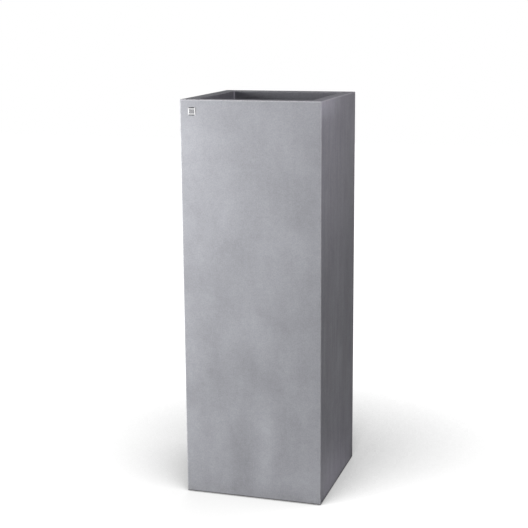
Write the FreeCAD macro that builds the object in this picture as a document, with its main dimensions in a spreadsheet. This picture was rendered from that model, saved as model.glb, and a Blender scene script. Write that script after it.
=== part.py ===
import FreeCAD, Part
import operator
import os

import Sketcher
from FreeCAD import Placement, Rotation, Vector

# Tall square planter: a moulded glass-fibre shell with a turned-in rim, standing on four
# low rubber feet. A bonded floor closes it, a raised shelf carries a lift-out planting
# liner with two wire handles, and a rubber plug closes the drain hole.
#
# Frame: millimetres, +Z up, origin on the ground under the planter's centre.
# The front face looks along -Y and +X is to its right.

SIZES = {
    # moulded shell
    "planter_height": 1000,  # ground to rim
    "planter_side": 352,  # outside width and depth
    "wall_thickness": 5,
    "rim_width": 30,  # outer face to the opening
    "rim_thickness": 5,  # flat top of the rim
    "rim_drop": 30,  # how far the rim's inner skirt hangs down
    "skirt_thickness": 5,
    "base_flange_width": 25,  # turned in from the wall's inner face
    "base_flange_thickness": 5,
    "corner_radius": 2.5,  # outer vertical edges
    "inner_corner_radius": 7.5,
    "opening_corner_radius": 6,
    "rim_edge_radius": 2,
    "opening_edge_radius": 2.5,
    "base_edge_radius": 1,
    # feet
    "foot_projection": 3,  # ground to the shell's base
    "foot_radius": 14,
    "foot_inset": 20,  # outer face to the foot's centre
    "foot_edge": 0.6,
    "foot_screw_radius": 1.5,
    "foot_screw_head_radius": 3.5,
    "foot_screw_length": 12,
    # floor and its bond
    "floor_thickness": 6,
    "floor_clearance": 0.5,
    "bond_leg": 16,
    "bond_nose": 1,
    # drain
    "drain_radius": 15,
    "bushing_wall": 3,
    "bushing_flange_radius": 25,
    "bushing_flange_thickness": 3,
    "bushing_flange_edge": 1,
    "thread_clearance": 0.1,
    "lock_nut_radius": 25,  # across the corners, halved
    "lock_nut_thickness": 4,
    "plug_clearance": 0.3,
    "plug_head_radius": 21,
    "plug_head_thickness": 5,
    "plug_head_edge": 1.5,
    "plug_stem_length": 12,
    "plug_nose": 2,
    "plug_tab_width": 16,
    "plug_tab_height": 14,
    "plug_tab_thickness": 6,
    # shelf on its four ledges
    "shelf_thickness": 12,
    "shelf_clearance": 1,
    "hand_hole_radius": 45,
    "hand_hole_edge": 2,
    "air_hole_radius": 6,
    "air_hole_inset": 70,
    "ledge_width": 18,
    "ledge_height": 25,
    "ledge_end_gap": 4,
    "ledge_chamfer": 4,
    "shelf_screw_radius": 1.75,
    "shelf_screw_head_radius": 3.75,
    "shelf_screw_length": 30,
    "shelf_screw_inset": 40,  # from the ledge's end
    # screws in general
    "screw_clearance": 0.1,
    "screw_recess": 0.3,  # head below the face it sinks into
    "screw_land": 0.3,  # straight edge of the countersunk head
    # lift-out liner
    "liner_drop": 50,  # rim down to the liner's rim
    "liner_depth": 300,
    "liner_clearance": 4,  # liner's rim to the planter's opening
    "liner_flange": 6,
    "liner_hem": 8,
    "liner_corner_radius": 8,
    "sheet_thickness": 1.2,
    "seat_gap": 0.3,
    # handles and their brackets
    "wire_radius": 2.5,
    "handle_width": 100,
    "handle_reach": 55,
    "handle_bend_radius": 9,
    "handle_grip": 18,  # how far each end runs into the barrel
    "hinge_clearance": 0.05,
    "hinge_drop": 30,  # liner's rim down to the hinge
    "bracket_length": 70,
    "bracket_height": 26,
    "bracket_thickness": 1.2,
    "bracket_edge": 4,
    "rivet_radius": 1.6,
    "rivet_clearance": 0.05,
    "rivet_head_radius": 3.4,
    "rivet_head_height": 1.2,
    "rivet_spacing": 44,
    "rivet_rise": 15,  # hinge up to the rivets
    # badge
    "badge_side": 19,
    "badge_thickness": 1.2,
    "badge_frame": 2.4,
    "badge_recess": 0.4,
    "badge_bevel": 0.6,
    "badge_side_margin": 21,
    "badge_top_margin": 19,
    "adhesive_thickness": 0.3,
    "adhesive_margin": 1,
}

OPERATIONS = {
    "+": operator.add,
    "-": operator.sub,
    "*": operator.mul,
    "/": operator.truediv,
}


class Size:
    """A size: its value now, and the formula that keeps a feature bound to the sheet."""

    def __init__(self, value, formula):
        self.value = value
        self.formula = formula

    def __add__(self, other):
        return combine(self, "+", other)

    def __sub__(self, other):
        return combine(self, "-", other)

    def __mul__(self, other):
        return combine(self, "*", other)

    def __truediv__(self, other):
        return combine(self, "/", other)

    def __neg__(self):
        return combine(0, "-", self)


def combine(left, sign, right):
    """The size that two sizes, or a size and a plain number, make."""
    left, right = [x if isinstance(x, Size) else Size(x, str(x)) for x in (left, right)]
    value = OPERATIONS[sign](left.value, right.value)
    return Size(value, f"({left.formula} {sign} {right.formula})")


ZERO = Size(0, "0")

# ---------------------------------------------------------------- document and sheet

doc = FreeCAD.newDocument("planter")
sheet = doc.addObject("Spreadsheet::Sheet", "sizes")


def fill_sheet():
    """Write each size in a row of its own, and return them as sizes by name."""
    named = {}
    for row, (alias, value) in enumerate(SIZES.items(), start=1):
        sheet.set(f"A{row}", alias)
        sheet.set(f"B{row}", str(value))
        sheet.setAlias(f"B{row}", alias)
        named[alias] = Size(value, f"sizes.{alias}")
    doc.recompute()
    return named


size = fill_sheet()

# ---------------------------------------------------------------- levels and fits

half_side = size["planter_side"] / 2
inner_side = size["planter_side"] - size["wall_thickness"] * 2
half_inner = inner_side / 2
opening_side = size["planter_side"] - size["rim_width"] * 2

shell_bottom = size["foot_projection"]
floor_bottom = shell_bottom + size["base_flange_thickness"]
floor_top = floor_bottom + size["floor_thickness"]
skirt_bottom = size["planter_height"] - size["rim_drop"]
rim_underside = size["planter_height"] - size["rim_thickness"]

foot_place = half_side - size["foot_inset"]

bushing_radius = size["drain_radius"] + size["bushing_wall"]
bushing_top = floor_top + size["bushing_flange_thickness"]
bushing_bottom = floor_bottom - size["lock_nut_thickness"]
plug_seat = bushing_top + size["seat_gap"]

liner_top = size["planter_height"] - size["liner_drop"]
liner_bottom = liner_top - size["liner_depth"]
liner_rim_side = opening_side - size["liner_clearance"] * 2
liner_side = liner_rim_side - size["liner_flange"] * 2
liner_inner_side = liner_side - size["sheet_thickness"] * 2

shelf_top = liner_bottom - size["seat_gap"]
shelf_bottom = shelf_top - size["shelf_thickness"]
ledge_length = inner_side - (size["ledge_width"] + size["ledge_end_gap"]) * 2
shelf_screw_along = ledge_length / 2 - size["shelf_screw_inset"]
shelf_screw_across = half_inner - size["ledge_width"] / 2

barrel_bore = size["wire_radius"] + size["hinge_clearance"]
barrel_radius = barrel_bore + size["bracket_thickness"]
hinge_x = liner_inner_side / 2 - barrel_radius
hinge_z = liner_top - size["hinge_drop"]

badge_x = size["badge_side_margin"] + size["badge_side"] / 2 - half_side
badge_z = size["planter_height"] - size["badge_top_margin"] - size["badge_side"] / 2

# ---------------------------------------------------------------- sketches


def new_body(name):
    body = doc.addObject("PartDesign::Body", name)
    body.Label = name
    return body


def origin_item(body, role):
    """The body's own origin plane or axis with this role, such as XY_Plane."""
    return next(item for item in body.Origin.OriginFeatures if item.Role == role)


def new_sketch(body, name, plane, offset=ZERO):
    """A sketch on one of the body's origin planes, moved along that plane's normal."""
    sketch = body.newObject("Sketcher::SketchObject", name)
    sketch.AttachmentSupport = [(origin_item(body, plane), "")]
    sketch.MapMode = "FlatFace"
    sketch.AttachmentOffset = Placement(Vector(0, 0, offset.value), Rotation())
    sketch.setExpression("AttachmentOffset.Base.z", offset.formula)
    return sketch


def constrain(sketch, kind, *references, to=None):
    """Add a constraint, and bind it to a size where it has one."""
    if to is None:
        sketch.addConstraint(Sketcher.Constraint(kind, *references))
        return
    index = sketch.addConstraint(Sketcher.Constraint(kind, *references, to.value))
    sketch.setExpression(f"Constraints[{index}]", to.formula)


def place_across(sketch, point, distance, kind="DistanceX", aligned="Vertical"):
    """Hold a point (curve, end) at a signed distance from the sketch's origin."""
    origin = (-1, 1)
    if distance.value > 0:
        constrain(sketch, kind, *origin, *point, to=distance)
    elif distance.value < 0:
        constrain(sketch, kind, *point, *origin, to=-distance)
    else:
        constrain(sketch, aligned, *origin, *point)


def place_up(sketch, point, distance):
    place_across(sketch, point, distance, "DistanceY", "Horizontal")


def place_point(sketch, point, x, y):
    place_across(sketch, point, x)
    place_up(sketch, point, y)


def draw_profile(sketch, points):
    """A closed outline of straight lines through the points; line 1 starts at the first."""
    count = len(points)
    corners = [Vector(x.value, y.value, 0) for x, y in points]
    for i in range(count):
        sketch.addGeometry(Part.LineSegment(corners[i], corners[(i + 1) % count]), False)
    for i in range(count):
        constrain(sketch, "Coincident", i, 2, (i + 1) % count, 1)
    for i, (x, y) in enumerate(points):
        place_point(sketch, (i, 1), x, y)


def draw_rectangle(sketch, width, height, x=ZERO, y=ZERO):
    """A rectangle about the point x, y."""
    left, right = x - width / 2, x + width / 2
    low, high = y - height / 2, y + height / 2
    draw_profile(sketch, [(left, low), (right, low), (right, high), (left, high)])


def draw_rounded_square(sketch, side, radius):
    """A square about the sketch's origin with round corners."""
    first = sketch.GeometryCount
    half = side.value / 2
    flat = half - radius.value
    for turn in range(4):
        spin = Rotation(Vector(0, 0, 1), 90 * turn)
        start = spin.multVec(Vector(-flat, -half, 0))
        end = spin.multVec(Vector(flat, -half, 0))
        centre = spin.multVec(Vector(flat, -flat, 0))
        middle = centre + spin.multVec(Vector(1, -1, 0).normalize() * radius.value)
        leave = spin.multVec(Vector(half, -flat, 0))
        sketch.addGeometry(Part.LineSegment(start, end), False)
        sketch.addGeometry(Part.Arc(end, middle, leave), False)
    for i in range(8):
        constrain(sketch, "Tangent", first + i, 2, first + (i + 1) % 8, 1)
    for i in (0, 4):
        constrain(sketch, "Horizontal", first + i)
        constrain(sketch, "Vertical", first + i + 2)
    for i in (3, 5, 7):
        constrain(sketch, "Equal", first + 1, first + i)
    constrain(sketch, "Radius", first + 1, to=radius)
    constrain(sketch, "Symmetric", first + 1, 3, first + 5, 3, -1, 1)
    constrain(sketch, "DistanceX", first + 6, 1, first + 2, 1, to=side)
    constrain(sketch, "DistanceY", first, 1, first + 4, 1, to=side)


def draw_circle(sketch, radius, x=ZERO, y=ZERO):
    centre = Vector(x.value, y.value, 0)
    circle = sketch.addGeometry(Part.Circle(centre, Vector(0, 0, 1), radius.value), False)
    constrain(sketch, "Radius", circle, to=radius)
    place_point(sketch, (circle, 3), x, y)


# ---------------------------------------------------------------- features


def bind(item, name, length):
    """Bind a property to the sheet through the size's formula."""
    item.setExpression(name, length.formula)


def volume(body):
    """The body's volume as it stands, 0 before its first feature."""
    doc.recompute()
    return 0 if body.Shape.isNull() else body.Shape.Volume


def pad(body, sketch, length):
    """Add material along the sketch's normal."""
    before = volume(body)
    feature = body.newObject("PartDesign::Pad", sketch.Name + "_pad")
    feature.Profile = sketch
    bind(feature, "Length", length)
    if volume(body) <= before:
        raise ValueError(f"{feature.Name} adds nothing")
    return feature


def pocket(body, sketch, length):
    """Cut along the sketch's normal, away from the plane it lies on."""
    before = volume(body)
    feature = body.newObject("PartDesign::Pocket", sketch.Name + "_pocket")
    feature.Profile = sketch
    feature.Reversed = True
    bind(feature, "Length", length)
    if volume(body) >= before:
        raise ValueError(f"{feature.Name} cuts nothing")
    return feature


def turn(body, sketch, kind="Revolution", axis="Edge1"):
    """Add (Revolution) or cut (Groove) the sketch turned about its own first line."""
    before = volume(body)
    feature = body.newObject(f"PartDesign::{kind}", f"{sketch.Name}_{kind.lower()}")
    feature.Profile = sketch
    feature.ReferenceAxis = (sketch, [axis])
    feature.Angle = 360
    change = volume(body) - before
    if change * (1 if kind == "Revolution" else -1) <= 0:
        raise ValueError(f"{feature.Name} changes nothing")
    return feature


def edges_where(feature, wanted):
    """The names of the feature's edges whose middle and box pass the test."""
    names = []
    for number, edge in enumerate(feature.Shape.Edges, start=1):
        middle = edge.valueAt((edge.FirstParameter + edge.LastParameter) / 2)
        if wanted(middle, edge.BoundBox):
            names.append(f"Edge{number}")
    return names


def ring_at(height, outer, depth):
    """A test for edges at one height, within a depth inside a square's outline."""

    def wanted(middle, box):
        reach = max(abs(middle.x), abs(middle.y))
        level = abs(box.ZMin - height) < 0.01 and abs(box.ZMax - height) < 0.01
        return level and outer - depth - 0.01 < reach < outer + 0.01

    return wanted


def dress(body, kind, edges, length):
    """Round (Fillet) or bevel (Chamfer) edges of the body as it stands."""
    base = body.Tip
    feature = body.newObject(f"PartDesign::{kind}", f"{body.Name}_{kind.lower()}")
    feature.Base = (base, edges)
    bind(feature, "Radius" if kind == "Fillet" else "Size", length)
    doc.recompute()
    return feature


def repeat(body, feature, mirrors=(), turns=1):
    """Repeat a feature by mirror planes and by equal turns about the vertical."""
    steps = []
    for plane in mirrors:
        mirror = body.newObject("PartDesign::Mirrored", f"{feature.Name}_{plane}")
        mirror.MirrorPlane = (origin_item(body, plane), [""])
        steps.append(mirror)
    if turns > 1:
        polar = body.newObject("PartDesign::PolarPattern", feature.Name + "_turns")
        polar.Axis = (origin_item(body, "Z_Axis"), [""])
        polar.Angle = 360
        polar.Occurrences = turns
        steps.append(polar)
    pattern = body.newObject("PartDesign::MultiTransform", feature.Name + "_pattern")
    pattern.Originals = [feature]
    pattern.Transformations = steps
    body.Tip = pattern
    doc.recompute()
    return pattern


# ---------------------------------------------------------------- screws


def draw_screw(sketch, screw, x, seat, way, room=None):
    """Half of a countersunk screw: its axis at x, its head flush with seat.

    way is 1 where the screw points up and -1 where it points down. With room it is the
    hole for the screw, wider by that much and open past the face that the head sinks into.
    """
    grow = room or ZERO
    start = seat - size["screw_recess"] * 2 * way if room else seat
    shank = screw["radius"] + grow
    head = screw["head_radius"] + grow
    land = seat + size["screw_land"] * way
    neck = land + (head - shank) * way
    tip = seat + (screw["length"] + grow) * way
    shoulder = tip - shank / 2 * way
    draw_profile(
        sketch,
        [(x, start), (x, tip), (x + shank / 2, tip), (x + shank, shoulder)]
        + [(x + shank, neck), (x + head, land), (x + head, start)],
    )


def screw_sizes(family):
    return {
        part: size[f"{family}_{part}"] for part in ("radius", "head_radius", "length")
    }


FOOT_SCREW = screw_sizes("foot_screw")
SHELF_SCREW = screw_sizes("shelf_screw")


def foot_screw_feature(body, kind, room=None):
    """A foot screw, or its hole, in the back right corner, repeated in all four."""
    sketch = new_sketch(body, f"{body.Name}_screw", "XZ_Plane", -foot_place)
    draw_screw(sketch, FOOT_SCREW, foot_place, size["screw_recess"], 1, room)
    return repeat(body, turn(body, sketch, kind), mirrors=("XZ_Plane", "YZ_Plane"))


def shelf_screw_feature(body, kind, room=None, turns=1):
    """The front ledge's two screws, or their holes, and those of the other ledges."""
    sketch = new_sketch(body, f"{body.Name}_screw", "XZ_Plane", shelf_screw_across)
    seat = shelf_top - size["screw_recess"]
    draw_screw(sketch, SHELF_SCREW, shelf_screw_along, seat, -1, room)
    return repeat(body, turn(body, sketch, kind), mirrors=("YZ_Plane",), turns=turns)


def make_foot_screws():
    foot_screw_feature(new_body("foot_screws"), "Revolution")


def make_shelf_screws():
    shelf_screw_feature(new_body("shelf_screws"), "Revolution", turns=4)


# ---------------------------------------------------------------- moulded shell


def make_outer_shell():
    """Four walls, the flat rim with its hanging skirt, and the base flange, in one."""
    body = new_body("outer_shell")

    outline = new_sketch(body, "shell_outline", "XY_Plane", shell_bottom)
    draw_rounded_square(outline, size["planter_side"], size["corner_radius"])
    pad(body, outline, size["planter_height"] - shell_bottom)

    cavity = new_sketch(body, "shell_cavity", "XY_Plane", floor_bottom)
    draw_rounded_square(cavity, inner_side, size["inner_corner_radius"])
    pocket(body, cavity, skirt_bottom - floor_bottom)

    skirt_side = opening_side + size["skirt_thickness"] * 2
    skirt_radius = size["opening_corner_radius"] + size["skirt_thickness"]
    behind_skirt = new_sketch(body, "behind_skirt", "XY_Plane", skirt_bottom)
    draw_rounded_square(behind_skirt, inner_side, size["inner_corner_radius"])
    draw_rounded_square(behind_skirt, skirt_side, skirt_radius)
    pocket(body, behind_skirt, rim_underside - skirt_bottom)

    opening = new_sketch(body, "shell_opening", "XY_Plane", skirt_bottom)
    draw_rounded_square(opening, opening_side, size["opening_corner_radius"])
    pocket(body, opening, size["rim_drop"])

    base_opening_side = inner_side - size["base_flange_width"] * 2
    base_opening = new_sketch(body, "base_opening", "XY_Plane", shell_bottom)
    draw_rounded_square(base_opening, base_opening_side, size["inner_corner_radius"])
    pocket(body, base_opening, size["base_flange_thickness"])

    foot_screw_feature(body, "Groove", size["screw_clearance"])

    rim = size["planter_height"].value
    outer_rim = ring_at(rim, half_side.value, size["corner_radius"].value)
    dress(body, "Fillet", edges_where(body.Tip, outer_rim), size["rim_edge_radius"])
    reach = size["opening_corner_radius"].value
    inner_rim = ring_at(rim, opening_side.value / 2, reach)
    dress(body, "Fillet", edges_where(body.Tip, inner_rim), size["opening_edge_radius"])
    outer_base = ring_at(shell_bottom.value, half_side.value, size["corner_radius"].value)
    dress(body, "Fillet", edges_where(body.Tip, outer_base), size["base_edge_radius"])


# ---------------------------------------------------------------- floor and drain


def make_base_panel():
    """The floor, laid on the shell's base flange, with the drain hole in its middle."""
    body = new_body("base_panel")
    outline = new_sketch(body, "floor_outline", "XY_Plane", floor_bottom)
    draw_rounded_square(
        outline, inner_side - size["floor_clearance"] * 2, size["inner_corner_radius"]
    )
    pad(body, outline, size["floor_thickness"])
    hole = new_sketch(body, "floor_drain_hole", "XY_Plane", floor_bottom)
    draw_circle(hole, bushing_radius + size["thread_clearance"])
    pocket(body, hole, size["floor_thickness"])
    foot_screw_feature(body, "Groove", size["screw_clearance"])


def make_base_bond_fillet():
    """The laminate fillet that bonds the floor to the walls all round."""
    body = new_body("base_bond_fillet")
    nose_side = inner_side - size["bond_leg"] * 2
    ring = new_sketch(body, "bond_ring", "XY_Plane", floor_top)
    draw_rounded_square(ring, inner_side, size["inner_corner_radius"])
    draw_rounded_square(ring, nose_side, size["inner_corner_radius"])
    pad(body, ring, size["bond_leg"])
    top = (floor_top + size["bond_leg"]).value
    inner_edge = ring_at(top, nose_side.value / 2, size["inner_corner_radius"].value)
    slope = size["bond_leg"] - size["bond_nose"]
    dress(body, "Chamfer", edges_where(body.Tip, inner_edge), slope)


def make_drain_bushing():
    """The flanged lining of the drain hole."""
    body = new_body("drain_bushing")
    section = new_sketch(body, "bushing_section", "XZ_Plane")
    bore, stem, flange = size["drain_radius"], bushing_radius, size["bushing_flange_radius"]
    draw_profile(
        section,
        [(bore, bushing_bottom), (stem, bushing_bottom), (stem, floor_top)]
        + [(flange, floor_top), (flange, bushing_top), (bore, bushing_top)],
    )
    turn(body, section, axis="V_Axis")
    top_edge = ring_at(bushing_top.value, flange.value, size["bushing_wall"].value)
    dress(body, "Chamfer", edges_where(body.Tip, top_edge), size["bushing_flange_edge"])


def make_drain_lock_nut():
    """The hexagonal nut that clamps the bushing under the floor."""
    blank = doc.addObject("Part::Prism", "lock_nut_blank")
    blank.Polygon = 6
    bind(blank, "Circumradius", size["lock_nut_radius"])
    bore = doc.addObject("Part::Cylinder", "lock_nut_bore")
    bind(bore, "Radius", bushing_radius + size["thread_clearance"])
    for item in (blank, bore):
        bind(item, "Height", size["lock_nut_thickness"])
        bind(item, "Placement.Base.z", bushing_bottom)
    nut = doc.addObject("Part::Cut", "drain_lock_nut")
    nut.Base = blank
    nut.Tool = bore
    nut.Label = "drain_lock_nut"


def make_drain_plug():
    """The rubber plug: a head on the bushing, a stem in its bore and a tab to pull."""
    body = new_body("drain_plug")
    stem = size["drain_radius"] - size["plug_clearance"]
    nose = stem - size["plug_nose"]
    head, edge = size["plug_head_radius"], size["plug_head_edge"]
    tip = plug_seat - size["plug_stem_length"]
    top = plug_seat + size["plug_head_thickness"]
    section = new_sketch(body, "plug_section", "XZ_Plane")
    draw_profile(
        section,
        [(ZERO, tip), (ZERO, top), (head - edge, top), (head, top - edge), (head, plug_seat)]
        + [(stem, plug_seat), (stem, tip + size["plug_nose"]), (nose, tip)],
    )
    turn(body, section)

    tab = new_sketch(body, "plug_tab", "XZ_Plane", -size["plug_tab_thickness"] / 2)
    middle = top + size["plug_tab_height"] / 2 - edge
    draw_rectangle(tab, size["plug_tab_width"], size["plug_tab_height"] + edge * 2, y=middle)
    pad(body, tab, size["plug_tab_thickness"])


# ---------------------------------------------------------------- shelf


def make_shelf_ledge(name, angle):
    """One batten bonded to a wall; the front one, turned about the planter's middle."""
    body = new_body(name)
    outline = new_sketch(body, name + "_outline", "XY_Plane", shelf_bottom - size["ledge_height"])
    middle = size["ledge_width"] / 2 - half_inner
    draw_rectangle(outline, ledge_length, size["ledge_width"], y=middle)
    pad(body, outline, size["ledge_height"])
    bottom = (shelf_bottom - size["ledge_height"]).value
    free_face = size["ledge_width"].value - half_inner.value
    lower_edge = edges_where(
        body.Tip,
        lambda middle, box: box.ZMax < bottom + 0.01 and abs(middle.y - free_face) < 0.01,
    )
    dress(body, "Chamfer", lower_edge, size["ledge_chamfer"])
    shelf_screw_feature(body, "Groove", size["screw_clearance"])
    body.Placement = Placement(Vector(), Rotation(Vector(0, 0, 1), angle))


def make_shelf_panel():
    """The raised floor under the liner, with a hand hole and four air holes."""
    body = new_body("shelf_panel")
    outline = new_sketch(body, "shelf_outline", "XY_Plane", shelf_bottom)
    draw_rounded_square(
        outline, inner_side - size["shelf_clearance"] * 2, size["inner_corner_radius"]
    )
    pad(body, outline, size["shelf_thickness"])
    holes = new_sketch(body, "shelf_holes", "XY_Plane", shelf_bottom)
    draw_circle(holes, size["hand_hole_radius"])
    for x_sign in (-1, 1):
        for y_sign in (-1, 1):
            reach = half_inner - size["air_hole_inset"]
            draw_circle(holes, size["air_hole_radius"], reach * x_sign, reach * y_sign)
    pocket(body, holes, size["shelf_thickness"])
    hole_rim = ring_at(shelf_top.value, size["hand_hole_radius"].value, 0)
    dress(body, "Fillet", edges_where(body.Tip, hole_rim), size["hand_hole_edge"])
    shelf_screw_feature(body, "Groove", size["screw_clearance"], turns=4)


# ---------------------------------------------------------------- feet


def make_foot(name, x_sign, y_sign):
    """A flat rubber foot, countersunk from below for its screw."""
    body = new_body(name)
    edge = size["foot_edge"]
    outer, high = size["foot_radius"], size["foot_projection"]
    section = new_sketch(body, name + "_section", "XZ_Plane")
    draw_profile(
        section,
        [(ZERO, ZERO), (ZERO, high), (outer, high), (outer, edge), (outer - edge, ZERO)],
    )
    turn(body, section)
    hole = new_sketch(body, name + "_hole", "XZ_Plane")
    draw_screw(hole, FOOT_SCREW, ZERO, size["screw_recess"], 1, size["screw_clearance"])
    turn(body, hole, "Groove")
    bind(body, "Placement.Base.x", foot_place * x_sign)
    bind(body, "Placement.Base.y", foot_place * y_sign)


# ---------------------------------------------------------------- lift-out liner


def make_insert_liner():
    """The folded sheet box that holds the plants, with a turned-down hem round its rim."""
    body = new_body("insert_liner")
    sheet_gauge = size["sheet_thickness"]
    corner = size["liner_corner_radius"]
    inner_corner = corner - sheet_gauge
    rim_corner = corner + size["liner_flange"]

    outline = new_sketch(body, "liner_outline", "XY_Plane", liner_bottom)
    draw_rounded_square(outline, liner_side, corner)
    pad(body, outline, size["liner_depth"])

    flange = new_sketch(body, "liner_flange", "XY_Plane", liner_top - sheet_gauge)
    draw_rounded_square(flange, liner_rim_side, rim_corner)
    pad(body, flange, sheet_gauge)

    hem = new_sketch(body, "liner_hem", "XY_Plane", liner_top - size["liner_hem"])
    draw_rounded_square(hem, liner_rim_side, rim_corner)
    draw_rounded_square(hem, liner_rim_side - sheet_gauge * 2, rim_corner - sheet_gauge)
    pad(body, hem, size["liner_hem"])

    inside = new_sketch(body, "liner_inside", "XY_Plane", liner_bottom + sheet_gauge)
    draw_rounded_square(inside, liner_inner_side, inner_corner)
    pocket(body, inside, size["liner_depth"] - sheet_gauge)

    rivet_feature(body, "Groove", size["rivet_clearance"])


def draw_rivet(sketch, room=None):
    """Half of a rivet through bracket and liner; with room, the hole for its shank."""
    z = hinge_z + size["rivet_rise"]
    inner_face = liner_inner_side / 2 - size["bracket_thickness"]
    outer_face = liner_side / 2
    if room:
        edge = z + size["rivet_radius"] + room
        inner_end, outer_end = inner_face - room, outer_face + room
        draw_profile(
            sketch, [(inner_end, z), (outer_end, z), (outer_end, edge), (inner_end, edge)]
        )
        return
    shank = z + size["rivet_radius"]
    head = z + size["rivet_head_radius"]
    crown = head - size["rivet_head_height"]
    inner_end = inner_face - size["rivet_head_height"]
    outer_end = outer_face + size["rivet_head_height"]
    draw_profile(
        sketch,
        [(inner_end, z), (outer_end, z), (outer_end, crown), (outer_face, head)]
        + [(outer_face, shank), (inner_face, shank), (inner_face, head), (inner_end, crown)],
    )


def rivet_feature(body, kind, room=None, mirrors=("XZ_Plane", "YZ_Plane")):
    """A rivet, or its hole, repeated for both ends of a bracket, and for both brackets."""
    sketch = new_sketch(body, f"{body.Name}_rivet", "XZ_Plane", size["rivet_spacing"] / 2)
    draw_rivet(sketch, room)
    return repeat(body, turn(body, sketch, kind), mirrors=mirrors)


def make_bracket_rivets():
    rivet_feature(new_body("bracket_rivets"), "Revolution")


# ---------------------------------------------------------------- handles


def make_handle_bracket(name, side):
    """A strap riveted to the liner, rolled into a barrel at its foot for the handle."""
    body = new_body(name)
    wall = liner_inner_side / 2
    strap_face = wall - size["bracket_thickness"]
    half_length = size["bracket_length"] / 2

    strap = new_sketch(body, name + "_strap", "XZ_Plane", -half_length)
    top = hinge_z + size["bracket_height"]
    draw_profile(
        strap, [(strap_face, hinge_z), (wall, hinge_z), (wall, top), (strap_face, top)]
    )
    pad(body, strap, size["bracket_length"])
    upper_corners = edges_where(
        body.Tip,
        lambda middle, box: box.ZMin > top.value - 0.01 and box.YLength < 0.01,
    )
    dress(body, "Fillet", upper_corners, size["bracket_edge"])

    barrel = new_sketch(body, name + "_barrel", "XZ_Plane", -half_length)
    draw_circle(barrel, barrel_radius, hinge_x, hinge_z)
    pad(body, barrel, size["bracket_length"])
    bore = new_sketch(body, name + "_bore", "XZ_Plane", -half_length)
    draw_circle(bore, barrel_bore, hinge_x, hinge_z)
    pocket(body, bore, size["bracket_length"])

    rivet_feature(body, "Groove", size["rivet_clearance"], mirrors=("XZ_Plane",))
    if side < 0:
        body.Placement = Placement(Vector(), Rotation(Vector(0, 0, 1), 180))


def make_handle(name, side):
    """A wire bail that hangs from its bracket: both ends turn in to the barrel."""
    body = new_body(name)
    half_width = size["handle_width"] / 2
    bend = size["handle_bend_radius"]
    pin_end = size["bracket_length"] / 2 - size["handle_grip"]
    reach = size["handle_reach"]

    path = new_sketch(body, name + "_path", "YZ_Plane", hinge_x)
    low = hinge_z - reach
    draw_bail(path, pin_end, half_width, low, bend)

    section = new_sketch(body, name + "_section", "XZ_Plane", pin_end)
    draw_circle(section, size["wire_radius"], hinge_x, hinge_z)
    doc.recompute()
    wire = body.newObject("PartDesign::AdditivePipe", name + "_wire")
    wire.Profile = section
    wire.Spine = path
    doc.recompute()
    if side < 0:
        body.Placement = Placement(Vector(), Rotation(Vector(0, 0, 1), 180))


def draw_bail(sketch, pin_end, half_width, low, bend):
    """The wire's path: in, down, across, up and in again, with a round bend each time."""
    corners = [(-pin_end, hinge_z), (-half_width, hinge_z), (-half_width, low)]
    corners += [(half_width, low), (half_width, hinge_z), (pin_end, hinge_z)]
    points = [Vector(x.value, y.value, 0) for x, y in corners]
    ways = [(end - start).normalize() for start, end in zip(points, points[1:])]
    last = len(ways) - 1
    for i, way in enumerate(ways):
        start = points[i] if i == 0 else points[i] + way * bend.value
        end = points[i + 1] if i == last else points[i + 1] - way * bend.value
        sketch.addGeometry(Part.LineSegment(start, end), False)
        if i < last:
            leave = points[i + 1] + ways[i + 1] * bend.value
            centre = end + ways[i + 1] * bend.value
            middle = centre + (points[i + 1] - centre).normalize() * bend.value
            sketch.addGeometry(Part.Arc(end, middle, leave), False)
    for i in range(2 * last):
        constrain(sketch, "Tangent", i, 2, i + 1, 1)
    for i in range(last):
        constrain(sketch, "Radius", 2 * i + 1, to=bend)
    for i in range(last + 1):
        constrain(sketch, "Vertical" if i % 2 else "Horizontal", 2 * i)
    place_point(sketch, (0, 1), *corners[0])
    place_across(sketch, (2, 1), -half_width)
    place_up(sketch, (4, 1), low)
    place_across(sketch, (6, 1), half_width)
    place_point(sketch, (8, 2), *corners[-1])


# ---------------------------------------------------------------- badge


def make_badge_adhesive():
    """The foam pad that holds the badge on the front face."""
    body = new_body("badge_adhesive")
    outline = new_sketch(body, "adhesive_outline", "XZ_Plane", half_side)
    side = size["badge_side"] - size["adhesive_margin"] * 2
    draw_rectangle(outline, side, side, badge_x, badge_z)
    pad(body, outline, size["adhesive_thickness"])


def make_badge_plate():
    """A small square plate, bare, with a raised frame round a sunk field."""
    body = new_body("badge_plate")
    back = half_side + size["adhesive_thickness"]
    front = back + size["badge_thickness"]
    outline = new_sketch(body, "badge_outline", "XZ_Plane", back)
    draw_rectangle(outline, size["badge_side"], size["badge_side"], badge_x, badge_z)
    pad(body, outline, size["badge_thickness"])
    front_edges = edges_where(body.Tip, lambda middle, box: box.YMax < 0.01 - front.value)
    dress(body, "Chamfer", front_edges, size["badge_bevel"])
    field = new_sketch(body, "badge_field", "XZ_Plane", front - size["badge_recess"])
    side = size["badge_side"] - size["badge_frame"] * 2
    draw_rectangle(field, side, side, badge_x, badge_z)
    pocket(body, field, size["badge_recess"])


# ---------------------------------------------------------------- build and export


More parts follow.
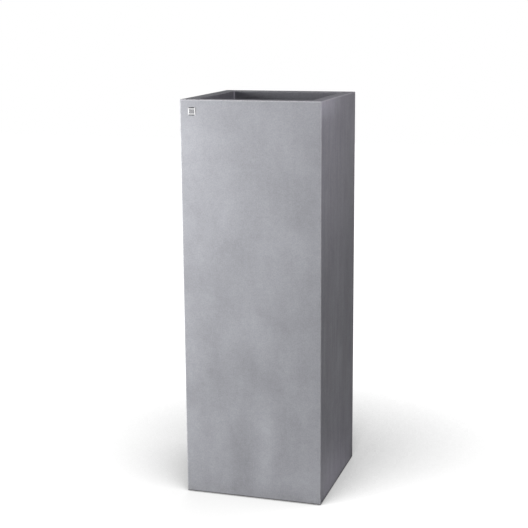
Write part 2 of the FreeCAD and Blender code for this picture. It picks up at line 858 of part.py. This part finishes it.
def build():
    make_outer_shell()
    make_base_panel()
    make_base_bond_fillet()
    make_drain_bushing()
    make_drain_lock_nut()
    make_drain_plug()
    for number, name in enumerate(("front", "right", "back", "left")):
        make_shelf_ledge(name + "_shelf_ledge", 90 * number)
    make_shelf_panel()
    make_shelf_screws()
    for y_sign, depth_name in ((-1, "front"), (1, "back")):
        for x_sign, side_name in ((-1, "left"), (1, "right")):
            make_foot(f"{depth_name}_{side_name}_foot", x_sign, y_sign)
    make_foot_screws()
    make_insert_liner()
    make_bracket_rivets()
    for side, side_name in ((-1, "left"), (1, "right")):
        make_handle_bracket(side_name + "_handle_bracket", side)
        make_handle(side_name + "_handle", side)
    make_badge_adhesive()
    make_badge_plate()


def sub_parts():
    """Each sub-part: every body, and each solid that no other one uses."""
    bodies = [item for item in doc.Objects if item.TypeId == "PartDesign::Body"]
    return bodies + [doc.getObject("drain_lock_nut")]


def check():
    """Stop before anything is written if an object or a sub-part's shape has failed."""
    for item in doc.Objects:
        if "Invalid" in item.State or "Error" in item.State:
            raise ValueError(f"{item.Name} failed: {item.State}")
    for part in sub_parts():
        if part.Shape.isNull() or not part.Shape.isValid() or not part.Shape.Solids:
            raise ValueError(f"{part.Label} has no valid shape")


def export():
    os.makedirs("parts", exist_ok=True)
    for part in sub_parts():
        part.Shape.exportStep(f"parts/{part.Label}.step")
        solids = part.Shape.Solids
        print(f"{part.Label}: {len(solids)} solid(s), {part.Shape.Volume:.1f} mm3")


build()
doc.recompute()
check()
export()
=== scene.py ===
"""Looks of the tall fibreglass planter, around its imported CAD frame. Lengths are in metres."""

import math

import bpy
from mathutils import Matrix, Vector


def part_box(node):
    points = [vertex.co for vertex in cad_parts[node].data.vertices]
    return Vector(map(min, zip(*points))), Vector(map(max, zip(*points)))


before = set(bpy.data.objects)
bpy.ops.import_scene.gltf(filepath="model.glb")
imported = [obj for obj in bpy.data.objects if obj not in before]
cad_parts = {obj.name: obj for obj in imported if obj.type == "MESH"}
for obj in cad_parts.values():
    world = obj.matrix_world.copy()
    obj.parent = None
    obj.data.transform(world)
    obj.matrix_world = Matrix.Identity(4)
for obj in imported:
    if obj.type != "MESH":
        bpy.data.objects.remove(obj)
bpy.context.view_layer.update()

# Planes of the shell that its material follows.
WALL = 0.005
RIM_WIDTH = 0.030
shell_low, shell_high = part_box("outer_shell")
SHELL_HALF = shell_high.x
INNER_WALL_HALF = SHELL_HALF - WALL
MOUTH_HALF = SHELL_HALF - RIM_WIDTH
SKIRT_OUTER_HALF = MOUTH_HALF + WALL
RIM_TOP = shell_high.z
SHELL_BOTTOM = shell_low.z


def rgb(red, green, blue):
    return (red, green, blue, 1.0)


def add_node(tree, kind, inputs=(), **settings):
    """A shader node. An input is linked where its value is a socket, and set where it isn't."""
    node = tree.nodes.new("ShaderNode" + kind)
    for key, value in settings.items():
        setattr(node, key, value)
    for key, value in dict(inputs).items():
        if isinstance(value, bpy.types.NodeSocket):
            tree.links.new(value, node.inputs[key])
        else:
            node.inputs[key].default_value = value
    return node


class Surface:
    """One procedural material: a shader and short calls for the nodes that feed it."""

    def __init__(self, name, **constants):
        self.material = bpy.data.materials.new(name)
        self.material.use_nodes = True
        self.tree = self.material.node_tree
        self.shader = self.tree.nodes["Principled BSDF"]
        for socket, value in constants.items():
            self.shader.inputs[socket.replace("_", " ")].default_value = value
        coordinates = self.node("TexCoord")
        self.place = coordinates.outputs["Object"]
        self.normal = coordinates.outputs["Normal"]
        self.axes = self.node("SeparateXYZ", {0: self.place}).outputs[:]
        self.relief = None

    def node(self, kind, inputs=(), **settings):
        return add_node(self.tree, kind, inputs, **settings)

    # Numbers.

    def math(self, operation, *values):
        return self.node("Math", enumerate(values), operation=operation).outputs[0]

    def product(self, *values):
        result = values[0]
        for value in values[1:]:
            result = self.math("MULTIPLY", result, value)
        return result

    def most(self, *values):
        result = values[0]
        for value in values[1:]:
            result = self.math("MAXIMUM", result, value)
        return result

    def distance(self, value, centre):
        return self.math("ABSOLUTE", self.math("SUBTRACT", value, centre))

    def ramp(self, value, low, high, start=0.0, end=1.0):
        """A smooth step from start at low to end at high."""
        inputs = {"Value": value, "From Min": low, "From Max": high}
        inputs.update({"To Min": start, "To Max": end})
        return self.node("MapRange", inputs, interpolation_type="SMOOTHSTEP").outputs["Result"]

    def near(self, value, plane, full, gone, most=1.0):
        """Most where value is full metres short of a plane, nothing where it is gone metres short.

        A negative distance lies past the plane."""
        return self.ramp(value, plane - gone, plane - full, 0.0, most)

    def between(self, value, low, high):
        """Low where value is nought and high where it is one, in a straight line."""
        return self.math("MULTIPLY_ADD", value, high - low, low)

    def around_one(self, noise, amount):
        """A noise between 0 and 1 turned into a factor close to one."""
        return self.between(noise, 1.0 - amount, 1.0 + amount)

    def facing(self, axis):
        """How squarely the surface faces along an axis, either way."""
        return self.math("ABSOLUTE", self.node("SeparateXYZ", {0: self.normal}).outputs[axis])

    # Patterns. Their scales count features per metre.

    def scaled(self, x, y, z, shift=0.0, where=None):
        """Coordinates stretched along each axis: a factor below one draws the pattern out."""
        inputs = {0: where or self.place, 1: (x, y, z), 2: (shift, shift, shift)}
        return self.node("VectorMath", inputs, operation="MULTIPLY_ADD").outputs[0]

    def turned(self, angles):
        """The object's coordinates, turned by degrees about each axis."""
        inputs = {"Vector": self.place, "Rotation": [math.radians(angle) for angle in angles]}
        return self.node("VectorRotate", inputs, rotation_type="EULER_XYZ").outputs[0]

    def noise(self, scale, detail=2.0, roughness=0.5, distortion=0.0, where=None):
        inputs = {
            "Vector": where or self.place,
            "Scale": scale,
            "Detail": detail,
            "Roughness": roughness,
            "Distortion": distortion,
        }
        return self.node("TexNoise", inputs).outputs[0]

    def cells(self, scale, where=None):
        """Outputs of a pattern of cells: Distance from a cell's centre, and its own Color."""
        return self.node("TexVoronoi", {"Vector": where or self.place, "Scale": scale}).outputs

    def bands(self, scale, distortion, detail_scale, direction, where):
        """Wavering stripes, as growth rings leave on a board."""
        inputs = {
            "Vector": where,
            "Scale": scale,
            "Distortion": distortion,
            "Detail": 3.0,
            "Detail Scale": detail_scale,
        }
        settings = {"wave_type": "BANDS", "bands_direction": direction}
        return self.node("TexWave", inputs, **settings).outputs["Fac"]

    # Colours and relief.

    def toned(self, colour, factor):
        """A colour made lighter or darker by a factor."""
        if isinstance(colour, tuple):
            colour = colour[:3]
        return self.node("VectorMath", {0: colour, 3: factor}, operation="SCALE").outputs[0]

    def blend(self, factor, below, above, amount=1.0):
        """Lays above over below where factor is one, as thickly as amount says."""
        if amount != 1.0:
            factor = self.math("MULTIPLY", factor, amount)
        inputs = {0: factor, 6: below, 7: above}
        return self.node("Mix", inputs, data_type="RGBA").outputs[2]

    def bump(self, height, depth):
        """Adds relief whose height is depth metres times the given value."""
        inputs = {"Height": height, "Distance": depth, "Strength": 1.0}
        if self.relief:
            inputs["Normal"] = self.relief
        self.relief = self.node("Bump", inputs).outputs[0]

    def finish(self, colour, roughness):
        """Feeds the shader and gives the material."""
        feeds = {"Base Color": colour, "Roughness": roughness, "Normal": self.relief}
        for socket, value in feeds.items():
            self.tree.links.new(value, self.shader.inputs[socket])
        return self.material


def shell_material():
    """Matte concrete-look gelcoat outside, bare laminate inside the walls."""
    grey = rgb(0.296, 0.300, 0.321)
    worn_and_highlit_grey = rgb(0.56, 0.56, 0.58)
    corner_line_grey = rgb(0.62, 0.62, 0.65)
    scuff_grey = rgb(0.17, 0.165, 0.155)
    shade_under = rgb(0.050, 0.047, 0.046)
    s = Surface("grey_gelcoat", Specular_IOR_Level=0.0, Coat_Weight=0.2, Coat_Roughness=0.4)
    x, y, z = s.axes
    away_x, away_y = s.math("ABSOLUTE", x), s.math("ABSOLUTE", y)
    ring = s.most(away_x, away_y)
    corner = s.math("MINIMUM", away_x, away_y)

    # Cloudy tone with a sandy grain and pores, and painted light on the right face towards its top
    # front corner.
    clouds = s.noise(8.0, 3.0, 0.50, 0.3)
    speckle = s.noise(75.0, 3.0, 0.6)
    sand = s.noise(300.0, 2.0, 0.7)
    grain = s.noise(620.0, 2.0, 0.6)
    pore = s.ramp(s.cells(130.0)["Distance"], 0.03, 0.10, 1.0, 0.0)
    tone = s.product(
        s.around_one(clouds, 0.21),
        upright_streaks(s),
        s.around_one(speckle, 0.09),
        s.around_one(sand, 0.16),
        s.around_one(grain, 0.14),
        s.between(pore, 1.0, 0.84),
        # painted light: the right face lightened near its top front corner
        painted_corner_light(s),
    )
    paint = s.toned(grey, tone)

    # Edges lightened partly by wear and partly by painted highlight, pale lines down the mouth's
    # inner corners, scuffs round the foot, and painted shadow as a dark line along the foot of the
    # walls.
    wear_and_highlight = worn_and_highlit_edges(s, ring, corner)
    # wear and painted highlight: the edges laid over with a pale grey
    paint = s.blend(wear_and_highlight, paint, worn_and_highlit_grey, 0.9)
    paint = s.blend(mouth_corner_line(s, ring, corner), paint, corner_line_grey, 0.8)
    scuffs = s.ramp(s.noise(60.0, 4.0, 0.7), 0.45, 0.70)
    scuffs = s.product(s.near(z, SHELL_BOTTOM, full=0.0, gone=-0.042), scuffs)
    paint = s.blend(scuffs, paint, scuff_grey, 0.25)
    # Painted shadow: the lowest few millimetres of the walls darkened where contact shade falls.
    painted_foot_shadow = s.near(z, SHELL_BOTTOM, full=-0.0014, gone=-0.0034)
    paint = s.blend(painted_foot_shadow, paint, shade_under, 0.8)

    raw = inside_walls(s, ring)
    strands = laminate_strands(s)
    colour = s.blend(raw, paint, laminate_colour(s, strands))

    s.bump(clouds, 0.0008)
    s.bump(speckle, 0.00012)
    s.bump(sand, 0.00006)
    s.bump(s.math("MULTIPLY", pore, -1.0), 0.00010)
    s.bump(s.product(raw, strands), 0.00035)
    roughness = s.between(s.noise(22.0, 3.0, 0.6), 0.44, 0.60)
    roughness = s.math("SUBTRACT", roughness, s.math("MULTIPLY", wear_and_highlight, 0.08))
    return s.finish(colour, roughness)


def upright_streaks(s):
    """Tone drawn out upright: broad and stronger near the base, fine on the side faces."""
    broad = s.noise(11.0, 2.5, 0.55, 0.2, s.scaled(1.2, 1.2, 0.50, 3.1))
    fine = s.noise(85.0, 2.0, 0.6, 0.0, s.scaled(1.0, 1.0, 0.07, 5.3))
    broad_strength = s.ramp(s.axes[2], 0.95, 0.25, 0.16, 0.46)
    fine_strength = s.between(s.facing(0), 0.05, 0.35)
    return s.product(
        s.math("MULTIPLY_ADD", s.math("SUBTRACT", broad, 0.5), broad_strength, 1.0),
        s.math("MULTIPLY_ADD", s.math("SUBTRACT", fine, 0.5), fine_strength, 1.0),
    )


def painted_corner_light(s):
    """A factor that lightens the right face towards its top front corner: painted light."""
    x, y, z = s.axes
    on_right = s.near(x, SHELL_HALF, full=0.001, gone=0.002)
    near_top = s.near(z, RIM_TOP, full=0.004, gone=0.060)
    near_front = s.near(y, -SHELL_HALF, full=-0.036, gone=-0.236)
    return s.between(s.product(on_right, near_top, near_front), 1.0, 1.48)


def worn_and_highlit_edges(s, ring, corner):
    """How far the upright edges and both edges of the rim are lightened, partly as rubbed wear and
    partly as painted highlight.
    """
    upright = s.near(corner, SHELL_HALF, full=0.0008, gone=0.0036, most=0.55)
    crest = s.near(s.axes[2], RIM_TOP, full=0.0010, gone=0.0036)
    rim_outer = s.near(ring, SHELL_HALF, full=0.0010, gone=0.0042)
    rim_inner = s.near(ring, MOUTH_HALF, full=-0.0012, gone=-0.0042, most=0.6)
    edges = s.most(upright, s.product(rim_outer, crest), s.product(rim_inner, crest))
    patchy = s.ramp(s.noise(160.0, 3.0, 0.6, 0.0, s.scaled(1.0, 1.0, 0.3)), 0.36, 0.62)
    return s.product(edges, s.between(patchy, 0.5, 1.0))


def mouth_corner_line(s, ring, corner):
    """A pale line down each inner corner of the mouth."""
    margin = 0.0006
    line = s.near(corner, MOUTH_HALF, full=0.0022, gone=0.0040)
    return s.product(line, s.math("LESS_THAN", ring, MOUTH_HALF + margin))


def inside_walls(s, ring):
    """One on the faces behind the skirt and inside the walls, under the rim."""
    z = s.axes[2]
    skirt_margin, wall_margin = 0.0007, 0.0008
    below_top, above_bottom = 0.0035, 0.0015
    return s.product(
        s.math("GREATER_THAN", ring, SKIRT_OUTER_HALF - skirt_margin),
        s.math("LESS_THAN", ring, INNER_WALL_HALF + wall_margin),
        s.math("LESS_THAN", z, RIM_TOP - below_top),
        s.math("GREATER_THAN", z, SHELL_BOTTOM + above_bottom),
    )


def laminate_strands(s):
    """Chopped glass strands lying in every direction under the resin."""
    layer_turns = ((20, 35, 10), (75, -40, 50), (-50, 15, 95), (40, 80, -30))
    layer_shift = 1.7
    layers = []
    for number, angles in enumerate(layer_turns):
        drawn = s.scaled(1.0, 0.07, 0.8, layer_shift * number, s.turned(angles))
        layers.append(s.ramp(s.noise(420.0, 1.5, 0.5, 0.4, drawn), 0.52, 0.66))
    return s.most(*layers)


def laminate_colour(s, strands):
    """Resin that varies in tone, paler over the strands and darker where it has pooled."""
    resin = s.toned(rgb(0.36, 0.355, 0.30), s.around_one(s.noise(26.0, 4.0, 0.6, 0.5), 0.30))
    glassy = s.blend(strands, resin, rgb(0.56, 0.56, 0.50), 0.55)
    puddles = s.ramp(s.noise(9.0, 2.0, 0.5), 0.55, 0.70)
    return s.blend(puddles, glassy, rgb(0.25, 0.235, 0.18), 0.35)


def laminate_material(name, smoothest):
    """Bare glass-fibre laminate: resin with the strand pattern showing through."""
    s = Surface(name, Specular_IOR_Level=0.5)
    strands = laminate_strands(s)
    s.bump(strands, 0.00035)
    s.bump(s.noise(70.0, 3.0, 0.6), 0.0006)
    roughness = s.between(s.noise(35.0, 3.0, 0.6), smoothest, smoothest + 0.22)
    return s.finish(laminate_colour(s, strands), roughness)


def wood_material(name, along):
    """Sawn softwood whose grain runs along axis 0 or 1."""
    pale, dark, knot = rgb(0.60, 0.44, 0.26), rgb(0.40, 0.24, 0.11), rgb(0.10, 0.045, 0.02)
    grain_stretch, knot_stretch = [1.0, 1.0, 1.0], [1.0, 1.0, 1.0]
    grain_stretch[along] = 0.06
    knot_stretch[along] = 0.45
    s = Surface(name, Specular_IOR_Level=0.35)
    drawn = s.scaled(*grain_stretch, shift=0.37)
    rings = s.bands(38.0, 5.0, 1.4, "DIAGONAL", drawn)
    fibre = s.noise(900.0, 2.0, 0.7, 0.0, drawn)
    uneven = s.noise(14.0, 2.0, 0.5, 0.0, drawn)
    colour = s.blend(s.ramp(rings, 0.45, 0.95), pale, dark, 0.75)
    colour = s.toned(colour, s.product(s.around_one(fibre, 0.20), s.around_one(uneven, 0.16)))
    knots = s.cells(17.0, s.scaled(*knot_stretch))["Distance"]
    colour = s.blend(s.ramp(knots, 0.10, 0.16, 1.0, 0.0), colour, knot, 0.5)
    s.bump(fibre, 0.00012)
    s.bump(rings, 0.0001)
    return s.finish(colour, s.between(fibre, 0.62, 0.77))


def plywood_material():
    """Birch-faced board with its plies showing on every cut edge."""
    pale_face, dark_face = rgb(0.56, 0.40, 0.23), rgb(0.38, 0.24, 0.12)
    pale_ply, dark_ply = rgb(0.46, 0.31, 0.17), rgb(0.20, 0.115, 0.055)
    damp_brown = rgb(0.17, 0.12, 0.08)
    ply_thickness = 0.0024
    board_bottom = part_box("shelf_panel")[0].z
    s = Surface("plywood", Specular_IOR_Level=0.35)
    figure = s.bands(9.0, 9.0, 1.2, "X", s.scaled(1.0, 0.12, 1.0, 0.9))
    fibre = s.noise(800.0, 2.0, 0.7, 0.0, s.scaled(1.0, 0.05, 1.0))
    face = s.blend(s.ramp(figure, 0.3, 1.0, 0.0, 0.6), pale_face, dark_face)
    face = s.toned(face, s.product(s.around_one(fibre, 0.16), s.around_one(s.noise(7.0), 0.14)))
    height = s.math("SUBTRACT", s.axes[2], board_bottom)
    plies = s.math("PINGPONG", s.math("DIVIDE", height, ply_thickness), 1.0)
    edge = s.blend(s.ramp(plies, 0.42, 0.58), pale_ply, dark_ply)
    edge = s.toned(edge, s.around_one(s.noise(500.0, 3.0, 0.7), 0.25))
    colour = s.blend(s.math("LESS_THAN", s.facing(2), 0.5), face, edge)
    damp = s.ramp(s.noise(6.0, 4.0, 0.65), 0.52, 0.66, 0.0, 0.35)
    colour = s.blend(damp, colour, damp_brown)
    s.bump(fibre, 0.00010)
    return s.finish(colour, s.between(fibre, 0.60, 0.75))


def galvanised_material(name, spangle, bright):
    """Hot-dip zinc: crystals that differ in brightness and gloss, with dull patches."""
    zinc = rgb(bright, bright * 1.01, bright * 1.03)
    dull_zinc = rgb(0.26, 0.265, 0.265)
    warp = 0.012
    s = Surface(name, Metallic=1.0)
    sway = s.node("TexNoise", {"Vector": s.place, "Scale": 45.0, "Detail": 2.0}).outputs["Color"]
    inputs = {0: sway, 1: (warp, warp, warp), 2: s.place}
    warped = s.node("VectorMath", inputs, operation="MULTIPLY_ADD").outputs[0]
    shade = s.node("SeparateXYZ", {0: s.cells(spangle, warped)["Color"]}).outputs
    needles = s.noise(700.0, 2.0, 0.6, 0.0, s.scaled(1.0, 1.0, 0.25))
    tone = s.product(
        s.around_one(shade[0], 0.20),
        s.around_one(needles, 0.10),
        s.around_one(s.noise(9.0, 3.0), 0.14),
    )
    bloom = s.ramp(s.noise(24.0, 5.0, 0.7), 0.56, 0.68)
    colour = s.blend(bloom, s.toned(zinc, tone), dull_zinc, 0.5)
    s.bump(shade[1], 0.00004)
    s.bump(needles, 0.00002)
    roughness = s.between(shade[2], 0.46, 0.62)
    return s.finish(colour, s.math("MULTIPLY_ADD", bloom, 0.14, roughness))


def plated_material(name, tint, smoothest):
    """Thin bright plating with faint swirls and handling marks."""
    s = Surface(name, Metallic=1.0)
    swirl = s.noise(330.0, 4.0, 0.65, 1.2)
    marks = s.ramp(s.noise(900.0, 2.0, 0.6, 0.0, s.scaled(0.2, 1.0, 1.0)), 0.55, 0.75)
    tone = s.product(s.around_one(swirl, 0.12), s.around_one(s.noise(60.0), 0.10))
    s.bump(swirl, 0.000015)
    roughness = s.between(swirl, smoothest, smoothest + 0.12)
    return s.finish(s.toned(tint, tone), s.math("MULTIPLY_ADD", marks, 0.12, roughness))


def drawn_wire_material():
    """Bright wire, with fine die lines and dull spots where hands rub."""
    s = Surface("drawn_wire", Metallic=1.0)
    lines = s.noise(1500.0, 1.0, 0.5, 0.0, s.scaled(1.0, 0.15, 1.0))
    dull = s.ramp(s.noise(55.0, 4.0, 0.65), 0.50, 0.66)
    tone = s.product(s.around_one(lines, 0.14), s.around_one(dull, 0.08))
    s.bump(lines, 0.00002)
    return s.finish(s.toned(rgb(0.60, 0.61, 0.63), tone), s.between(dull, 0.27, 0.45))


def moulded_material(name, colour, smoothest, grain_scale, dust):
    """Moulded plastic or rubber: fine grain, slight flow marks, dust in the open areas."""
    s = Surface(name, Specular_IOR_Level=0.45)
    grain = s.noise(grain_scale, 2.0, 0.6)
    flow = s.noise(48.0, 3.0, 0.6, 0.8)
    body = s.toned(colour, s.product(s.around_one(grain, 0.22), s.around_one(flow, 0.20)))
    settled = s.ramp(s.noise(120.0, 4.0, 0.7), 0.46, 0.70, 0.0, dust)
    body = s.blend(settled, body, rgb(0.20, 0.19, 0.17))
    s.bump(grain, 0.00006)
    s.bump(flow, 0.00015)
    return s.finish(body, s.between(grain, smoothest, smoothest + 0.18))


def foam_material():
    """Closed-cell mounting tape."""
    s = Surface("foam_tape", Specular_IOR_Level=0.2)
    cell = s.cells(2600.0)["Distance"]
    tone = s.product(s.around_one(cell, 0.20), s.around_one(s.noise(300.0), 0.12))
    s.bump(cell, 0.00008)
    return s.finish(s.toned(rgb(0.62, 0.61, 0.58), tone), s.between(cell, 0.80, 0.90))


def chrome_material():
    """Polished plate: bright frame, satin field, a dark line of grime and painted shade round the
    field, and painted dark reflection on the top and bottom edges.
    """
    polished, satin, dark = rgb(0.94, 0.945, 0.95), rgb(0.26, 0.26, 0.27), rgb(0.02, 0.02, 0.022)
    low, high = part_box("badge_plate")
    half = (high.x - low.x) / 2
    side_bar, end_bar, soft_edge, grime_and_shade_width = 0.0024, 0.0038, 0.0006, 0.0007
    field_x, field_z = half - side_bar, half - end_bar
    s = Surface("polished_chrome", Metallic=1.0)
    off_x = s.distance(s.axes[0], (low.x + high.x) / 2)
    off_z = s.distance(s.axes[2], (low.z + high.z) / 2)

    # The frame and the field inside it.
    smears = s.noise(240.0, 4.0, 0.65, 0.6)
    brushed = s.noise(900.0, 2.0, 0.6, 0.0, s.scaled(1.0, 1.0, 0.12))
    inside = s.product(
        s.near(off_x, field_x, full=soft_edge, gone=0.0),
        s.near(off_z, field_z, full=soft_edge, gone=0.0),
    )
    frame_colour = s.toned(polished, s.around_one(smears, 0.05))
    satin_tone = s.product(s.around_one(brushed, 0.18), s.around_one(smears, 0.12))
    colour = s.blend(inside, frame_colour, s.toned(satin, satin_tone))

    # Grime and painted shade around the field, and painted dark reflection on the top and bottom
    # edges.
    from_field = s.distance(s.most(off_x, off_z), field_x)
    patchy = s.ramp(s.noise(500.0, 3.0, 0.6), 0.30, 0.60, 0.6, 1.0)
    # grime and painted shade: a dark line round the edge of the sunk field
    grime_and_shade = s.product(s.ramp(from_field, 0.0, grime_and_shade_width, 1.0, 0.0), patchy)
    # painted reflection: the top and bottom edges darkened as if mirroring a dark surround
    painted_dark_reflection = s.product(
        s.near(off_z, half, full=0.0017, gone=0.0022),
        s.near(off_x, half, full=0.0026, gone=0.0010),
    )
    darkened = s.most(s.math("MULTIPLY", grime_and_shade, 0.5), s.math("MULTIPLY", painted_dark_reflection, 0.95))
    colour = s.blend(darkened, colour, dark)

    s.bump(smears, 0.00001)
    s.bump(s.product(inside, brushed), 0.00002)
    roughness = s.math("MULTIPLY_ADD", inside, 0.10, s.between(smears, 0.05, 0.15))
    return s.finish(colour, roughness)


def dress_frame():
    """Gives every CAD node its material."""
    dressed = (
        (shell_material(), "outer_shell"),
        (laminate_material("raw_laminate", 0.34), "base_panel"),
        (laminate_material("bond_laminate", 0.22), "base_bond_fillet"),
        (wood_material("batten_wood_x", 0), "front_shelf_ledge", "back_shelf_ledge"),
        (wood_material("batten_wood_y", 1), "left_shelf_ledge", "right_shelf_ledge"),
        (plywood_material(), "shelf_panel"),
        (galvanised_material("galvanised_sheet", 85.0, 0.27), "insert_liner"),
        (
            galvanised_material("galvanised_fitting", 260.0, 0.40),
            "left_handle_bracket",
            "right_handle_bracket",
        ),
        (drawn_wire_material(), "left_handle", "right_handle"),
        (plated_material("rivet_aluminium", rgb(0.66, 0.67, 0.68), 0.30), "bracket_rivets"),
        (
            plated_material("zinc_plating", rgb(0.62, 0.60, 0.52), 0.24),
            "shelf_screws",
            "foot_screws",
        ),
        (
            moulded_material("foot_rubber", rgb(0.018, 0.018, 0.018), 0.62, 1400.0, 0.35),
            "front_left_foot",
            "front_right_foot",
            "back_left_foot",
            "back_right_foot",
        ),
        (
            moulded_material("plug_rubber", rgb(0.022, 0.021, 0.020), 0.50, 1200.0, 0.22),
            "drain_plug",
        ),
        (
            moulded_material("drain_plastic", rgb(0.030, 0.031, 0.033), 0.38, 900.0, 0.18),
            "drain_bushing",
            "drain_lock_nut",
        ),
        (foam_material(), "badge_adhesive"),
        (chrome_material(), "badge_plate"),
    )
    chosen = {name: material for material, *names in dressed for name in names}
    for name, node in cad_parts.items():
        for slot in node.material_slots:
            slot.material = chosen[name]


def seen_directly(tree):
    """A socket that is one for camera, mirror and see-through rays, and nothing for light."""
    path = add_node(tree, "LightPath").outputs
    seen = path["Is Camera Ray"]
    for name in ("Is Glossy Ray", "Is Transmission Ray"):
        seen = add_node(tree, "Math", {0: seen, 1: path[name]}, operation="MAXIMUM").outputs[0]
    return seen


def floor_glow(tree):
    """How white each point of the floor looks: a painted glow, darkened by ambient occlusion where
    the object blocks two imitated soft lights.
    """
    # Painted light: two wide soft lights imitated by ambient occlusion, one low in front of the
    # planter and one low behind it on the right:
    # where each comes from, how near an object has to be to block it, and its share.
    painted_soft_lights = (
        ((-0.020, -0.976, 0.216), 0.75, 2.021),
        ((0.656, 0.753, 0.050), 1.01, 0.630),
    )
    without_light, darkest = -1.437, 0.42
    glow = without_light
    for towards, reach, share in painted_soft_lights:
        direction = add_node(tree, "CombineXYZ", enumerate(towards)).outputs[0]
        inputs = {"Normal": direction, "Distance": reach}
        unblocked = add_node(tree, "AmbientOcclusion", inputs, samples=16).outputs["AO"]
        inputs = {0: unblocked, 1: share, 2: glow}
        glow = add_node(tree, "Math", inputs, operation="MULTIPLY_ADD").outputs[0]
    return add_node(tree, "Math", {0: glow, 1: darkest}, operation="MAXIMUM").outputs[0]


def studio_floor():
    """Pale floor: a white glow, with the object's soft shadow painted on it from ambient
    occlusion.
    """
    half = 8.0
    corners = [(-half, -half, 0), (half, -half, 0), (half, half, 0), (-half, half, 0)]
    mesh = bpy.data.meshes.new("studio_floor")
    mesh.from_pydata(corners, [], [(0, 1, 2, 3)])
    floor = bpy.data.objects.new("studio_floor", mesh)
    bpy.context.scene.collection.objects.link(floor)
    material = bpy.data.materials.new("studio_floor")
    material.use_nodes = True
    tree = material.node_tree
    tree.nodes.clear()
    lit = add_node(tree, "BsdfDiffuse", {"Color": rgb(0.9, 0.9, 0.9)}).outputs[0]
    glowing = add_node(tree, "Emission", {"Strength": floor_glow(tree)}).outputs[0]
    shown = add_node(tree, "MixShader", {0: seen_directly(tree), 1: lit, 2: glowing}).outputs[0]
    add_node(tree, "OutputMaterial", {"Surface": shown})
    mesh.materials.append(material)


def studio_world():
    """White where it is seen, no light of its own."""
    world = bpy.data.worlds.new("studio_world")
    world.use_nodes = True
    background = world.node_tree.nodes["Background"]
    background.inputs["Color"].default_value = rgb(1.0, 1.0, 1.0)
    world.node_tree.links.new(seen_directly(world.node_tree), background.inputs["Strength"])
    bpy.context.scene.world = world


def softbox(name, place, size, power, aim=(0.0, 0.0, 0.6), tint=(1.0, 1.0, 1.0)):
    """A square area lamp, which isn't seen itself."""
    lamp = bpy.data.lights.new(name, "AREA")
    lamp.color = tint
    lamp.shape = "SQUARE"
    lamp.size = size
    lamp.energy = power
    stand = bpy.data.objects.new(name, lamp)
    stand.location = place
    stand.rotation_mode = "QUATERNION"
    stand.rotation_quaternion = (Vector(aim) - Vector(place)).to_track_quat("-Z", "Y")
    stand.visible_camera = False
    bpy.context.scene.collection.objects.link(stand)


def studio_lamps():
    """Key on the left, fill in front, small lamps at the rim, light off the floor, backlight."""
    lilac = (1.0, 0.935, 1.05)
    softbox("key_left", (-1.1, -0.9, 0.95), 0.6, 18.7)
    softbox("near_left", (-0.55, -0.6, 0.9), 0.3, 2.6)
    softbox("low_front", (0.4, -2.6, 0.6), 0.9, 17.8)
    softbox("top_right", (0.70, -0.30, 1.55), 0.4, 2.45, (0.17, 0.0, 1.0), lilac)
    softbox("overhead", (0.0, 0.1, 2.3), 0.6, 2.2, (0.0, 0.0, 1.0))
    softbox("side_right", (0.7, -0.25, 0.98), 0.25, 0.5, (0.176, -0.1, 0.95), lilac)
    softbox("bounce_right", (0.33, 0.0, 0.006), 0.3, 0.13, (0.33, 0.0, 1.0), lilac)
    softbox("bounce_front", (0.0, -0.38, 0.01), 0.3, 0.06, (0.0, -0.38, 1.0))
    softbox("back_left", (-1.4, 1.8, 1.2), 1.0, 9.0)
    softbox("back_low", (0.3, 2.4, 0.9), 1.2, 4.5)


def camera():
    """The photograph's viewpoint."""
    focal_pixels, image_pixels, film = 1204.13, 528.0, 36.0
    eye = (0.86988, -2.89785, 1.20465)
    yaw, pitch, roll = -0.29825, 0.20672, -0.0073
    lens = bpy.data.cameras.new("view")
    lens.sensor_width = film
    lens.lens = focal_pixels / image_pixels * film
    stand = bpy.data.objects.new("view", lens)
    stand.matrix_world = (
        Matrix.Translation(eye)
        @ Matrix.Rotation(-yaw, 4, "Z")
        @ Matrix.Rotation(math.pi / 2 - pitch, 4, "X")
        @ Matrix.Rotation(roll, 4, "Z")
    )
    bpy.context.scene.collection.objects.link(stand)
    bpy.context.scene.camera = stand


dress_frame()
studio_floor()
studio_world()
studio_lamps()
camera()
bpy.context.scene.view_settings.view_transform = "Standard"
